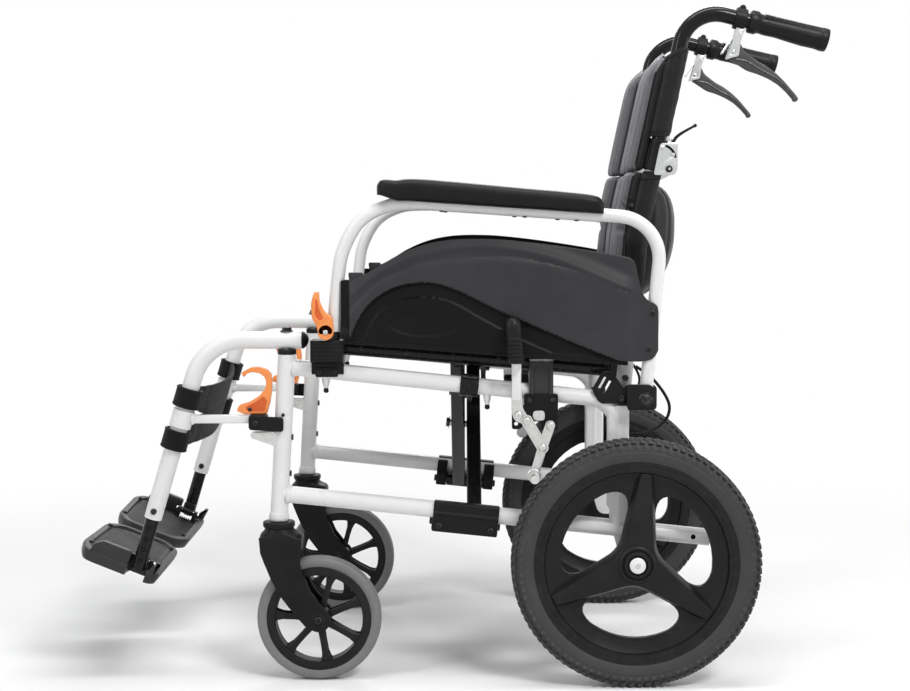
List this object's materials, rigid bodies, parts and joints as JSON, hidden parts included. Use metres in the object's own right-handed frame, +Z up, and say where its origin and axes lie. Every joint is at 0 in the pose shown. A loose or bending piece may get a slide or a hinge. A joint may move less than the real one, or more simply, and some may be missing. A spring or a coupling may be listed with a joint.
{
  "type": "wheelchair",
  "caption": "Folding attendant-propelled wheelchair with flip-back arms, swing-away footrests, half-folding back, parking and attendant brakes.",
  "frame": {"origin": "on the floor, under the centre of the bounding box", "axes": "+X towards the back, +Y towards the occupant's right, +Z up; the occupant faces -X"},
  "size_m": [1.0822, 0.567, 0.9641],
  "materials": {
    "black_cane": "satin black",
    "black_metal": "satin black",
    "black_plastic": "matt black moulding",
    "cable": "black sheath",
    "caster_tyre": "mid-grey solid tyre",
    "frame": "satin off-white powder coat",
    "lever_metal": "dark grey lacquered",
    "orange_plastic": "semi-gloss orange",
    "rim": "black, semi-gloss",
    "side_panel": "fine leather grain, charcoal",
    "tyre": "dark grey, ribbed",
    "upholstery": "woven grey-purple nylon with black edging",
    "webbing": "black webbing",
    "zinc_plate": "bright zinc plate"
  },
  "bodies": {
    "arm_latch_left": {"arm_latch_left": "orange_plastic"},
    "arm_latch_right": {"arm_latch_right": "orange_plastic"},
    "arm_left": {"arm_pad_left": "black_plastic", "arm_tube_left": "frame", "side_panel_left": "side_panel"},
    "arm_right": {"arm_pad_right": "black_plastic", "arm_tube_right": "frame", "side_panel_right": "side_panel"},
    "frame_left": {"arm_socket_left": "black_plastic", "back_cane_left": "black_cane", "brake_cable_left": "cable", "side_frame_left": "frame"},
    "frame_right": {"arm_socket_right": "black_plastic", "back_cane_right": "black_cane", "brake_cable_right": "cable", "side_frame_right": "frame"},
    "pad_lower_left": {"back_pad_lower_left": "upholstery"},
    "pad_lower_right": {"back_pad_lower_right": "upholstery"},
    "pad_upper_left": {"back_pad_upper_left": "upholstery"},
    "pad_upper_right": {"back_pad_upper_right": "upholstery"},
    "release_left": {"back_release_left": "black_plastic"},
    "release_right": {"back_release_right": "black_plastic"},
    "back_left": {"brake_bracket_left": "zinc_plate", "hand_grip_left": "black_plastic", "handle_post_left": "black_cane"},
    "back_right": {"brake_bracket_right": "zinc_plate", "hand_grip_right": "black_plastic", "handle_post_right": "black_cane"},
    "hand_brake_left": {"brake_lever_left": "lever_metal"},
    "hand_brake_right": {"brake_lever_right": "lever_metal"},
    "brake_link_left": {"brake_link_left": "zinc_plate"},
    "brake_link_right": {"brake_link_right": "zinc_plate"},
    "brake_shoe_left": {"brake_shoe_left": "zinc_plate"},
    "brake_shoe_right": {"brake_shoe_right": "zinc_plate"},
    "hanger_left": {"calf_strap_left": "webbing", "hanger_left": "frame"},
    "hanger_right": {"calf_strap_right": "webbing", "hanger_right": "frame"},
    "caster_left": {"caster_fork_left": "black_plastic"},
    "caster_right": {"caster_fork_right": "black_plastic"},
    "caster_wheel_left": {"caster_wheel_left": "caster_tyre"},
    "caster_wheel_right": {"caster_wheel_right": "caster_tyre"},
    "brace_a": {"cross_bar_a": "black_metal"},
    "brace_b": {"cross_bar_b": "black_metal"},
    "footrest_left": {"foot_tube_left": "black_plastic"},
    "footrest_right": {"foot_tube_right": "black_plastic"},
    "footplate_left": {"footplate_left": "black_plastic"},
    "footplate_right": {"footplate_right": "black_plastic"},
    "hanger_latch_left": {"hanger_latch_left": "orange_plastic"},
    "hanger_latch_right": {"hanger_latch_right": "orange_plastic"},
    "brake_lever_left": {"parking_lever_left": "zinc_plate"},
    "brake_lever_right": {"parking_lever_right": "zinc_plate"},
    "wheel_left": {"rear_rim_left": "rim", "rear_tyre_left": "tyre"},
    "wheel_right": {"rear_rim_right": "rim", "rear_tyre_right": "tyre"},
    "seat_left": {"seat_pad_left": "upholstery"},
    "seat_right": {"seat_pad_right": "upholstery"},
    "link_left": {"side_link_left": "black_metal"},
    "link_right": {"side_link_right": "black_metal"}
  },
  "joints": [
    {"name": "fold", "type": "hinge", "parent": "frame_left", "child": "brace_a", "pos_m": [0.0215, -0.196, 0.22233], "axis": [0.9945, 0, -0.1044], "range_deg": [0, 36], "deforming": ["seat_pad_left", "seat_pad_right", "back_pad_lower_left", "back_pad_lower_right", "back_pad_upper_left", "back_pad_upper_right", "calf_strap_left", "calf_strap_right"]},
    {"name": "cross_bar_b", "type": "hinge", "parent": "brace_a", "child": "brace_b", "pos_m": [0.0215, 0, 0.34377], "axis": [0.9945, 0, -0.1044], "range_deg": [-72, 0]},
    {"name": "right_frame", "type": "hinge", "parent": "brace_b", "child": "frame_right", "pos_m": [0.0215, 0.196, 0.22233], "axis": [0.9945, 0, -0.1044], "range_deg": [0, 36]},
    {"name": "side_link_left", "type": "hinge", "parent": "frame_left", "child": "link_left", "pos_m": [0.02645, -0.216, 0.42691], "axis": [0.9945, 0, -0.1044], "range_deg": [0, 70.34]},
    {"name": "seat_half_left", "type": "hinge", "parent": "brace_b", "child": "seat_left", "pos_m": [0.0215, -0.197, 0.46584], "axis": [0.9965, 0, -0.0838], "range_deg": [0, 100.08]},
    {"name": "lower_back_half_left", "type": "hinge", "parent": "frame_left", "child": "pad_lower_left", "pos_m": [0.26643, -0.1932, 0.6005], "axis": [-0.0956, 0, -0.9954], "range_deg": [0, 63.28]},
    {"name": "upper_back_half_left", "type": "hinge", "parent": "back_left", "child": "pad_upper_left", "pos_m": [0.30846, -0.1932, 0.8225], "axis": [-0.2149, 0, -0.9766], "range_deg": [0, 63.28]},
    {"name": "half_fold_back_left", "type": "hinge", "parent": "frame_left", "child": "back_left", "pos_m": [0.3114, -0.1932, 0.7348], "axis": [0, 1, 0], "range_deg": [0, 95]},
    {"name": "back_release_left", "type": "hinge", "parent": "back_left", "child": "release_left", "pos_m": [0.317, -0.1932, 0.7546], "axis": [0, 1, 0], "range_deg": [0, 40], "stiffness_Nm_per_rad": 0.05},
    {"name": "attendant_brake_left", "type": "hinge", "parent": "back_left", "child": "hand_brake_left", "pos_m": [0.402, -0.1932, 0.9], "axis": [0, -1, 0], "range_deg": [0, 25], "stiffness_Nm_per_rad": 0.3},
    {"name": "arm_flip_left", "type": "hinge", "parent": "frame_left", "child": "arm_left", "pos_m": [0.2761, -0.236, 0.4094], "axis": [0, 1, 0], "range_deg": [0, 100]},
    {"name": "arm_catch_left", "type": "hinge", "parent": "frame_left", "child": "arm_latch_left", "pos_m": [-0.176, -0.2498, 0.506], "axis": [0, -1, 0], "range_deg": [0, 35], "stiffness_Nm_per_rad": 0.05},
    {"name": "parking_brake_left", "type": "hinge", "parent": "frame_left", "child": "brake_lever_left", "pos_m": [0.09624, -0.2348, 0.3864], "axis": [0, 1, 0], "range_deg": [0, 30]},
    {"name": "brake_shoe_left", "type": "hinge", "parent": "frame_left", "child": "brake_shoe_left", "pos_m": [0.14124, -0.2348, 0.3717], "axis": [0, -1, 0], "range_deg": [0, 2]},
    {"name": "brake_link_left", "type": "hinge", "parent": "brake_lever_left", "child": "brake_link_left", "pos_m": [0.10754, -0.2393, 0.37905], "axis": [0, 1, 0], "range_deg": [-40.5, 0]},
    {"name": "rear_wheel_left", "type": "hinge", "parent": "frame_left", "child": "wheel_left", "pos_m": [0.2625, -0.256, 0.178], "axis": [0, 1, 0], "continuous": true},
    {"name": "caster_swivel_left", "type": "hinge", "parent": "frame_left", "child": "caster_left", "pos_m": [-0.2487, -0.216, 0.231], "axis": [0, 0, 1], "continuous": true},
    {"name": "caster_wheel_left", "type": "hinge", "parent": "caster_left", "child": "caster_wheel_left", "pos_m": [-0.1912, -0.216, 0.09], "axis": [0, 1, 0], "continuous": true},
    {"name": "hanger_swing_left", "type": "hinge", "parent": "frame_left", "child": "hanger_left", "pos_m": [-0.23462, -0.216, 0.4925], "axis": [0, 0, 1], "range_deg": [0, 90]},
    {"name": "hanger_catch_left", "type": "hinge", "parent": "hanger_left", "child": "hanger_latch_left", "pos_m": [-0.296, -0.216, 0.3863], "axis": [0, -1, 0], "range_deg": [0, 22], "stiffness_Nm_per_rad": 0.05},
    {"name": "footrest_height_left", "type": "slide", "parent": "hanger_left", "child": "footrest_left", "axis": [-0.29, 0, -0.957], "range_m": [-0.03, 0.05]},
    {"name": "footplate_flip_left", "type": "hinge", "parent": "footrest_left", "child": "footplate_left", "pos_m": [-0.45074, -0.1965, 0.17037], "axis": [0.9272, 0, -0.3746], "range_deg": [0, 90.5]},
    {"name": "side_link_right", "type": "hinge", "parent": "frame_right", "child": "link_right", "pos_m": [0.05045, 0.216, 0.42439], "axis": [-0.9945, 0, 0.1044], "range_deg": [0, 70.34]},
    {"name": "seat_half_right", "type": "hinge", "parent": "brace_a", "child": "seat_right", "pos_m": [0.0215, 0.197, 0.46584], "axis": [-0.9965, 0, 0.0838], "range_deg": [0, 100.08]},
    {"name": "lower_back_half_right", "type": "hinge", "parent": "frame_right", "child": "pad_lower_right", "pos_m": [0.26643, 0.1932, 0.6005], "axis": [0.0956, 0, 0.9954], "range_deg": [0, 63.28]},
    {"name": "upper_back_half_right", "type": "hinge", "parent": "back_right", "child": "pad_upper_right", "pos_m": [0.30846, 0.1932, 0.8225], "axis": [0.2149, 0, 0.9766], "range_deg": [0, 63.28]},
    {"name": "half_fold_back_right", "type": "hinge", "parent": "frame_right", "child": "back_right", "pos_m": [0.3114, 0.1932, 0.7348], "axis": [0, 1, 0], "range_deg": [0, 95]},
    {"name": "back_release_right", "type": "hinge", "parent": "back_right", "child": "release_right", "pos_m": [0.317, 0.1932, 0.7546], "axis": [0, 1, 0], "range_deg": [0, 40], "stiffness_Nm_per_rad": 0.05},
    {"name": "attendant_brake_right", "type": "hinge", "parent": "back_right", "child": "hand_brake_right", "pos_m": [0.402, 0.1932, 0.9], "axis": [0, -1, 0], "range_deg": [0, 25], "stiffness_Nm_per_rad": 0.3},
    {"name": "arm_flip_right", "type": "hinge", "parent": "frame_right", "child": "arm_right", "pos_m": [0.2761, 0.236, 0.4094], "axis": [0, 1, 0], "range_deg": [0, 100]},
    {"name": "arm_catch_right", "type": "hinge", "parent": "frame_right", "child": "arm_latch_right", "pos_m": [-0.176, 0.2498, 0.506], "axis": [0, -1, 0], "range_deg": [0, 35], "stiffness_Nm_per_rad": 0.05},
    {"name": "parking_brake_right", "type": "hinge", "parent": "frame_right", "child": "brake_lever_right", "pos_m": [0.09624, 0.2348, 0.3864], "axis": [0, 1, 0], "range_deg": [0, 30]},
    {"name": "brake_shoe_right", "type": "hinge", "parent": "frame_right", "child": "brake_shoe_right", "pos_m": [0.14124, 0.2348, 0.3717], "axis": [0, -1, 0], "range_deg": [0, 2]},
    {"name": "brake_link_right", "type": "hinge", "parent": "brake_lever_right", "child": "brake_link_right", "pos_m": [0.10754, 0.2393, 0.37905], "axis": [0, 1, 0], "range_deg": [-40.5, 0]},
    {"name": "rear_wheel_right", "type": "hinge", "parent": "frame_right", "child": "wheel_right", "pos_m": [0.2625, 0.256, 0.178], "axis": [0, 1, 0], "continuous": true},
    {"name": "caster_swivel_right", "type": "hinge", "parent": "frame_right", "child": "caster_right", "pos_m": [-0.2487, 0.216, 0.231], "axis": [0, 0, 1], "continuous": true},
    {"name": "caster_wheel_right", "type": "hinge", "parent": "caster_right", "child": "caster_wheel_right", "pos_m": [-0.1912, 0.216, 0.09], "axis": [0, 1, 0], "continuous": true},
    {"name": "hanger_swing_right", "type": "hinge", "parent": "frame_right", "child": "hanger_right", "pos_m": [-0.23462, 0.216, 0.4925], "axis": [0, 0, -1], "range_deg": [0, 90]},
    {"name": "hanger_catch_right", "type": "hinge", "parent": "hanger_right", "child": "hanger_latch_right", "pos_m": [-0.296, 0.216, 0.3863], "axis": [0, -1, 0], "range_deg": [0, 22], "stiffness_Nm_per_rad": 0.05},
    {"name": "footrest_height_right", "type": "slide", "parent": "hanger_right", "child": "footrest_right", "axis": [-0.29, 0, -0.957], "range_m": [-0.03, 0.05]},
    {"name": "footplate_flip_right", "type": "hinge", "parent": "footrest_right", "child": "footplate_right", "pos_m": [-0.45074, 0.1965, 0.17037], "axis": [-0.9272, 0, 0.3746], "range_deg": [0, 90.5]}
  ],
  "couplings": [
    {"joint": "cross_bar_b", "follows": "fold", "ratio": -2},
    {"joint": "right_frame", "follows": "fold", "ratio": 1},
    {"joint": "side_link_left", "follows": "fold", "ratio": 1.94},
    {"joint": "seat_half_left", "follows": "fold", "ratio": 2.766},
    {"joint": "lower_back_half_left", "follows": "fold", "ratio": 1.744},
    {"joint": "upper_back_half_left", "follows": "fold", "ratio": 1.744},
    {"joint": "brake_shoe_left", "follows": "parking_brake_left", "ratio": 0.0607},
    {"joint": "brake_link_left", "follows": "parking_brake_left", "ratio": -1.322},
    {"joint": "footplate_flip_left", "follows": "fold", "ratio": 2.5},
    {"joint": "side_link_right", "follows": "fold", "ratio": 1.94},
    {"joint": "seat_half_right", "follows": "fold", "ratio": 2.766},
    {"joint": "lower_back_half_right", "follows": "fold", "ratio": 1.744},
    {"joint": "upper_back_half_right", "follows": "fold", "ratio": 1.744},
    {"joint": "half_fold_back_right", "follows": "half_fold_back_left", "ratio": 1},
    {"joint": "brake_shoe_right", "follows": "parking_brake_right", "ratio": 0.0607},
    {"joint": "brake_link_right", "follows": "parking_brake_right", "ratio": -1.322},
    {"joint": "footplate_flip_right", "follows": "fold", "ratio": 2.5}
  ]
}
